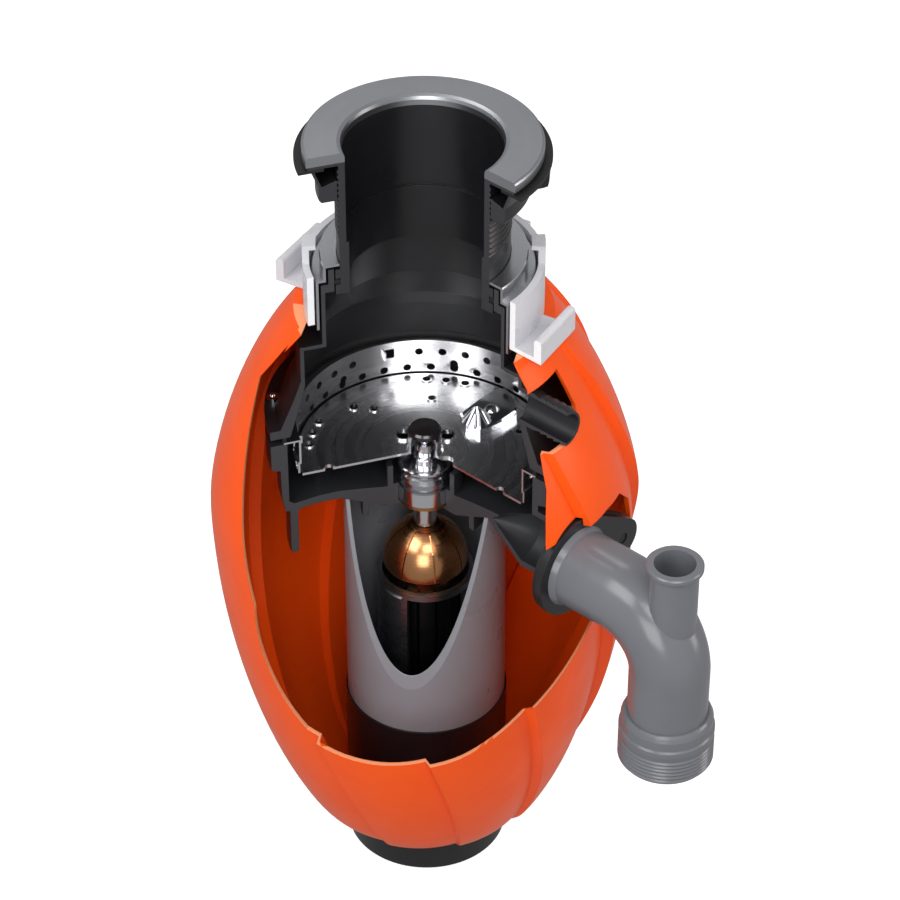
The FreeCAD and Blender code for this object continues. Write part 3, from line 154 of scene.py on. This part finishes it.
def moulded_plastic(name, base, worn, roughness, grain_mm=0.8, coat=0.0, depth=0.012,
                    edge_mm=0.35, shine=0.5, sawn_and_edge_highlight=None, where=sawn_faces):
    """A smooth solid skin, such as a moulding, a coated casting or paint.

    It has a faint grain of grain_mm, depth mm deep, and patches that drift from base to worn and a
    little in their shine.  Edges catch light as if rounded by edge_mm.  sawn_and_edge_highlight is the
    colour of the faces that where picks out, which the display cut laid bare; on the casing that colour
    is partly the bare shell and partly a painted highlight along the edges of the opening.
    """
    made, tree, out = new_material(name)
    place = add(tree, "ShaderNodeTexCoord").outputs["Object"]
    patch = add(tree, "ShaderNodeTexNoise", {"Vector": place, "Scale": 1 / PATCH, "Detail": 3.0})
    grain = add(tree, "ShaderNodeTexNoise", {"Vector": place, "Scale": 1 / (grain_mm * MM), "Detail": 2.0})
    mix = add(tree, "ShaderNodeMix", {0: patch.outputs["Fac"], 6: colour(base), 7: colour(worn)},
              data_type="RGBA")
    skin_colour = mix.outputs[2]
    # The cut faces take their own colour; on the casing it is partly the bare shell and partly a painted
    # highlight along the edges of the opening.
    if sawn_and_edge_highlight:
        cut = add(tree, "ShaderNodeMix", {0: where(tree, place), 6: mix.outputs[2], 7: colour(sawn_and_edge_highlight)},
                  data_type="RGBA")
        skin_colour = cut.outputs[2]
    edge = add(tree, "ShaderNodeBevel", {"Radius": edge_mm * MM}, samples=4)
    rough = add(tree, "ShaderNodeMapRange", {"Value": patch.outputs["Fac"], "From Min": PATTERN_LOW,
                                             "From Max": PATTERN_HIGH, "To Min": roughness - 0.04,
                                             "To Max": roughness + 0.05})
    bump = add(tree, "ShaderNodeBump", {"Height": grain.outputs["Fac"], "Distance": depth * MM,
                                        "Strength": 0.6, "Normal": edge.outputs[0]})
    skin = add(tree, "ShaderNodeBsdfPrincipled", {"Base Color": skin_colour, "Roughness": rough.outputs[0],
                                                  "Normal": bump.outputs[0], "IOR": PLASTIC_IOR,
                                                  "Specular IOR Level": shine, "Coat Weight": coat,
                                                  "Coat Roughness": COAT_ROUGHNESS})
    tree.links.new(skin.outputs[0], out.inputs[0])
    return made


def turned_metal(name, base, dark, roughness, ring_mm=0.5, depth=0.006, spread=0.055):
    """A metal worked about the machine's axis: turned, spun, wound or stacked.

    Rings ring_mm wide follow the axis.  They move the roughness by spread, and the surface by depth mm
    where depth isn't 0.
    """
    made, tree, out = new_material(name)
    place = add(tree, "ShaderNodeTexCoord").outputs["Object"]
    apart = add(tree, "ShaderNodeSeparateXYZ", {0: place})
    flat = add(tree, "ShaderNodeCombineXYZ", {0: apart.outputs[0], 1: apart.outputs[1]})
    radius = add(tree, "ShaderNodeVectorMath", {0: flat.outputs[0]}, operation="LENGTH")
    rings = add(tree, "ShaderNodeCombineXYZ", {0: radius.outputs["Value"], 2: apart.outputs[2]})
    lines = add(tree, "ShaderNodeTexNoise", {"Vector": rings.outputs[0], "Scale": 1 / (ring_mm * MM),
                                             "Detail": 2.0})
    cloud = add(tree, "ShaderNodeTexNoise", {"Vector": place, "Scale": 1 / CLOUD, "Detail": 4.0})
    mix = add(tree, "ShaderNodeMix", {0: cloud.outputs["Fac"], 6: colour(base), 7: colour(dark)},
              data_type="RGBA")
    rough = add(tree, "ShaderNodeMapRange", {"Value": lines.outputs["Fac"], "From Min": PATTERN_LOW,
                                             "From Max": PATTERN_HIGH, "To Min": roughness - spread,
                                             "To Max": roughness + spread})
    skin = add(tree, "ShaderNodeBsdfPrincipled", {"Base Color": mix.outputs[2], "Metallic": 1.0,
                                                  "Roughness": rough.outputs[0]})
    if depth:
        bump = add(tree, "ShaderNodeBump", {"Height": lines.outputs["Fac"], "Distance": depth * MM,
                                            "Strength": 0.5})
        tree.links.new(bump.outputs[0], skin.inputs["Normal"])
    tree.links.new(skin.outputs[0], out.inputs[0])
    return made


# ---- finishes ------------------------------------------------------------------------------
FINISHES = {
    # Satin stainless sheet, pressed: a calm grey top with a bright line along its inner edge.
    "sink_flange_cover": turned_metal("satin_stainless_flange", "#B4B6BA", "#A6A8AC", 0.34),
    # Glass-filled nylon, moulded: near black, with a soft sheen that follows the bore.
    "sink_sleeve": moulded_plastic("black_glass_filled_sleeve", "#131315", "#1A1A1D", 0.3, sawn_and_edge_highlight="#2E2E31"),
    # Nylon, moulded: black and a little duller, so the wings read by their edges alone.
    "lock_nut": moulded_plastic("black_nylon_nut", "#111113", "#19191B", 0.34, sawn_and_edge_highlight="#2E2E31"),
    # Charcoal moulding: a shade lighter than the sleeve, and its cut wall is lighter again.
    "hopper": moulded_plastic("charcoal_hopper_plastic", "#19191B", "#202023", 0.34, sawn_and_edge_highlight="#38383B"),
    # Moulded rubber: it takes the light in and keeps the joints dark.
    "rubber": moulded_plastic("black_moulded_rubber", "#0C0C0D", "#131314", 0.6, grain_mm=0.5),
    # Zinc-plated sheet, pressed: crisp steps of light and dark.
    "stamped_cap": turned_metal("zinc_plated_sheet", "#D4D5D8", "#C2C3C7", 0.22),
    # Aluminium, die cast and shot blasted: pale and even, the lightest part of the machine.
    "mounting_ring": moulded_plastic("shot_blasted_aluminium_ring", "#D6D6DA", "#CCCCD1", 0.28,
                                     grain_mm=0.6, sawn_and_edge_highlight="#F4F4F6"),
    # Polished stainless sheet: mirror-like, with the holes black against it.  The polishing marks are
    # too fine to show, so the rings are drawn 5 mm wide, and without depth.
    "grind_ring": turned_metal("polished_grind_ring", "#F4F4F6", "#E8E8EA", 0.24,
                               ring_mm=5.0, depth=0.0, spread=0.03),
    # The same sheet, a little duller where the waste rubs it, and drawn in the same way.
    "turntable": turned_metal("polished_turntable", "#F4F4F6", "#E8E8EA", 0.27,
                              ring_mm=5.0, depth=0.0, spread=0.03),
    # Bright turned steel: small sharp highlights on the lug, hub, shaft and screws.
    "turned_steel": turned_metal("turned_bright_steel", "#E2E3E6", "#D2D3D7", 0.15),
    # Steel, blackened in a bath and oiled: dark, with a wet highlight.
    "hub_cap": moulded_plastic("black_oxide_cap", "#1B1718", "#241F20", 0.2, coat=0.4),
    # Steel seal case, pressed: mid grey, with a soft highlight round the bulb.
    "shaft_seal": turned_metal("pressed_steel_seal_case", "#C4C5CA", "#B2B3B8", 0.22),
    # Sintered bronze: a dull warm ring between two cold metals.
    "bronze": turned_metal("sintered_bronze", "#C98F5E", "#B17B4A", 0.28),
    # Enamelled copper wire under varnish: a warm dome with a hot spot and dark seams between turns.
    "windings": turned_metal("varnished_copper_windings", "#D29A6C", "#BE8455", 0.24,
                             ring_mm=0.7, depth=0.02),
    # Die casting with a dark coating: charcoal, with a broad faint sheen, lighter where it was cut.
    "chamber": moulded_plastic("dark_coated_casting", "#202124", "#292A2D", 0.36, sawn_and_edge_highlight="#3A3B3E"),
    # Polypropylene pipe, moulded: mid grey, with a long clear highlight round the bend.
    "elbow": moulded_plastic("grey_elbow_plastic", "#66686D", "#707277", 0.22),
    # Nylon plate, moulded: black, set off from the grey pipe by a thin lit edge.
    "clamp": moulded_plastic("black_clamp_plastic", "#17171A", "#1F1F22", 0.32),
    # Steel tube in grey paint: a flat mid grey that darkens evenly round the tube.
    "motor_tube": moulded_plastic("grey_painted_tube", "#808186", "#8A8B90", 0.3),
    # Black moulding: the foot reads as one dark band with a soft rim.
    "motor_foot": moulded_plastic("black_foot_plastic", "#121214", "#19191B", 0.34),
    # Zinc-plated steel, deep drawn: a cool grey with fine level lines round the can.
    "motor_can": turned_metal("zinc_plated_can", "#A4A5A9", "#8F9094", 0.3),
    # Pressed and sintered ferrite: dead black, with hardly any shine.
    "ferrite": moulded_plastic("sintered_ferrite", "#121214", "#19191B", 0.5),
    # Stacked sheets of electrical steel: dark, with fine level lines.
    "laminations": turned_metal("stacked_steel_laminations", "#35363A", "#28292C", 0.42,
                                ring_mm=0.7, depth=0.03),
    # Pressed phenolic board: a matt brown card.
    "phenolic": moulded_plastic("brown_phenolic_board", "#4E3322", "#5C3E2A", 0.5),
    # Glossy moulding: one small saturated red spot under the foot.
    "red_button": moulded_plastic("red_button_plastic", "#B3241C", "#A51E17", 0.25),
    # Moulded shell in orange lacquer: saturated, with broad soft highlights along the folds.  The walls of
    # the opening are paler: partly the bare shell, partly a painted highlight along their edges.
    "casing": moulded_plastic("lacquered_orange_casing", "#FF5B10", "#FA540C", 0.32, edge_mm=0.8,
                              shine=0.2, sawn_and_edge_highlight="#FFA070", where=laid_open_edges),
}
# The finish of each node that has none under its own name.
WEARS = {
    "neck_o_ring": "rubber", "rim_seal": "rubber", "hopper_seal": "rubber", "outlet_seal": "rubber",
    "chamber_screws": "turned_steel", "swivel_lug": "turned_steel", "lug_rivet": "turned_steel",
    "rotor_hub": "turned_steel", "rotor_shaft": "turned_steel", "top_bearing_races": "turned_steel",
    "top_bearing_balls": "turned_steel", "brush_springs": "turned_steel", "reset_spring": "turned_steel",
    "lower_bearing": "bronze", "bearing_washer": "bronze", "commutator": "bronze",
    "upper_windings": "windings", "lower_windings": "windings", "armature_core": "laminations",
    "field_magnets": "ferrite", "brushes": "ferrite", "outlet_screw": "ferrite",
    "overload_protector": "ferrite", "brush_card": "phenolic", "lower_chamber": "chamber",
    "drain_elbow": "elbow", "drain_coupler": "elbow", "elbow_clamp": "clamp",
    "reset_button": "red_button", "swirl_casing": "casing",
}
for name, part in nodes.items():
    part.data.materials.clear()
    part.data.materials.append(FINISHES[WEARS.get(name, name)])


# ---- wound springs ---------------------------------------------------------------------------
def wound_coil(start, along, length, radius, wire, turns):
    """Wire carried along a helix, as (points, faces).

    The middle of the wire is start + along * rise + radius * radial, where radial turns evenly about along
    and rise grows evenly from one wire radius to length less one.  The wire's circle stands in the plane of
    radial and along.
    """
    steps = int(turns * TURN_STEPS)
    along = np.array(along, float)
    side = np.array((1.0, 0.0, 0.0)) if abs(along[2]) > 0.9 else np.array((0.0, 0.0, 1.0))
    side = np.cross(along, side)
    side = side / np.linalg.norm(side)
    other = np.cross(along, side)
    share = np.linspace(0.0, 1.0, steps + 1)[:, None, None]
    around = np.linspace(0.0, 2 * np.pi, WIRE_SIDES, endpoint=False)[None, :, None]
    radial = np.cos(2 * np.pi * turns * share) * side + np.sin(2 * np.pi * turns * share) * other
    rise = wire + (length - 2 * wire) * share
    points = np.array(start, float) + along * (rise + wire * np.sin(around)) \
        + radial * (radius + wire * np.cos(around))
    row, spot = np.meshgrid(np.arange(steps), np.arange(WIRE_SIDES), indexing="ij")
    beside = (spot + 1) % WIRE_SIDES
    quads = np.stack([row * WIRE_SIDES + spot, (row + 1) * WIRE_SIDES + spot,
                      (row + 1) * WIRE_SIDES + beside, row * WIRE_SIDES + beside], axis=-1).reshape(-1, 4)
    last = (steps + 1) * WIRE_SIDES - 1
    ends = [list(range(WIRE_SIDES)), list(range(last, last - WIRE_SIDES, -1))]
    return points.reshape(-1, 3), quads.tolist() + ends


def spring_piece(name, coils, stands_for):
    """One object from one or more coils, in bright steel, riding on the machine."""
    points, faces = [], []
    for coil_points, coil_faces in coils:
        first = sum(len(p) for p in points)
        points.append(coil_points)
        faces += [[first + corner for corner in face] for face in coil_faces]
    mesh = bpy.data.meshes.new(name)
    mesh.from_pydata(np.concatenate(points), [], faces)
    mesh.polygons.foreach_set("use_smooth", np.ones(len(faces), dtype=bool))
    mesh.materials.append(FINISHES["turned_steel"])
    piece = bpy.data.objects.new(name, mesh)
    bpy.context.collection.objects.link(piece)
    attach(piece, "machine")
    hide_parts(stands_for)
    return piece


def springs():
    """The reset spring and the two brush springs."""
    low, high = (Vector(corner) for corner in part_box("reset_spring"))
    tall = high.z - low.z
    foot = ((low.x + high.x) / 2, (low.y + high.y) / 2, low.z)
    radius = (high.x - low.x) / 2 - RESET_WIRE
    coil = wound_coil(foot, (0.0, 0.0, 1.0), tall, radius, RESET_WIRE, RESET_TURNS)
    reset = spring_piece("reset_coil", [coil], "reset_spring")
    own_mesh(reset)
    low, high = (Vector(corner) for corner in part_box("brush_springs"))
    level = (low.z + high.z) / 2
    radius = (high.z - low.z) / 2 - BRUSH_WIRE
    coils = []
    for degrees in BRUSH_AT:
        way = (math.cos(math.radians(degrees)), math.sin(math.radians(degrees)), 0.0)
        start = (BRUSH_SPRING_FROM * way[0], BRUSH_SPRING_FROM * way[1], level)
        coils.append(wound_coil(start, way, BRUSH_SPRING_LONG, radius, BRUSH_WIRE, BRUSH_TURNS))
    spring_piece("brush_coils", coils, "brush_springs")


# ---- studio --------------------------------------------------------------------------------
def soft_box(name, place, aim, width, height, power, tint):
    """A rectangular studio light at place, facing aim."""
    data = bpy.data.lights.new(name, "AREA")
    data.shape = "RECTANGLE"
    data.size, data.size_y, data.energy = width, height, power
    data.color = colour(tint)[:3]
    lamp = bpy.data.objects.new(name, data)
    lamp.location = place
    lamp.rotation_euler = (aim - place).to_track_quat("-Z", "Y").to_euler()
    bpy.context.collection.objects.link(lamp)


def lights():
    """The soft boxes round the open side, and the even light of a white room."""
    middle = Vector(LIT_POINT)
    toward = Vector((math.cos(math.radians(OPEN_SIDE)), math.sin(math.radians(OPEN_SIDE)), 0.0))
    right = Vector((-toward.y, toward.x, 0.0))
    up = Vector((0.0, 0.0, 1.0))
    for name, (nearer, sideways, higher), width, height, power, tint in SOFT_BOXES:
        place = middle + toward * nearer + right * sideways + up * higher
        soft_box(name, place, middle, width, height, power, tint)
    world = bpy.data.worlds.new("studio_air")
    world.use_nodes = True
    world.node_tree.nodes["Background"].inputs[0].default_value = colour(AIR_TINT)
    world.node_tree.nodes["Background"].inputs[1].default_value = AIR_STRENGTH
    bpy.context.scene.world = world


def table():
    """A white sheet that glows a little, so that it fades into the background."""
    floor_mesh = bpy.data.meshes.new("studio_floor")
    corners = [(x * FLOOR_REACH, y * FLOOR_REACH, 0.0) for x, y in ((-1, -1), (1, -1), (1, 1), (-1, 1))]
    floor_mesh.from_pydata(corners, [], [(0, 1, 2, 3)])
    floor = bpy.data.objects.new("studio_floor", floor_mesh)
    made, tree, out = new_material("pale_floor")
    skin = add(tree, "ShaderNodeBsdfPrincipled", {"Base Color": colour(FLOOR_TONE), "Roughness": 0.9,
                                                  "Emission Color": colour("#FFFFFF"),
                                                  "Emission Strength": FLOOR_GLOW})
    tree.links.new(skin.outputs[0], out.inputs[0])
    floor_mesh.materials.append(made)
    bpy.context.collection.objects.link(floor)
    floor.visible_diffuse = False    # the sheet neither lights the casing from below
    floor.visible_glossy = False     # nor shows in its lacquer


def camera():
    """Long lens, looking down at the open side."""
    data = bpy.data.cameras.new("showroom_camera")
    data.lens, data.sensor_width = CAMERA_LENS, CAMERA_SENSOR
    data.clip_start, data.clip_end = CAMERA_CLIP
    eye = bpy.data.objects.new("showroom_camera", data)
    eye.location = CAMERA_AT
    eye.rotation_euler = (Vector(CAMERA_AIM) - eye.location).to_track_quat("-Z", "Y").to_euler()
    bpy.context.collection.objects.link(eye)
    bpy.context.scene.camera = eye


springs()
lights()
table()
camera()
bpy.context.scene.view_settings.view_transform = "Standard"
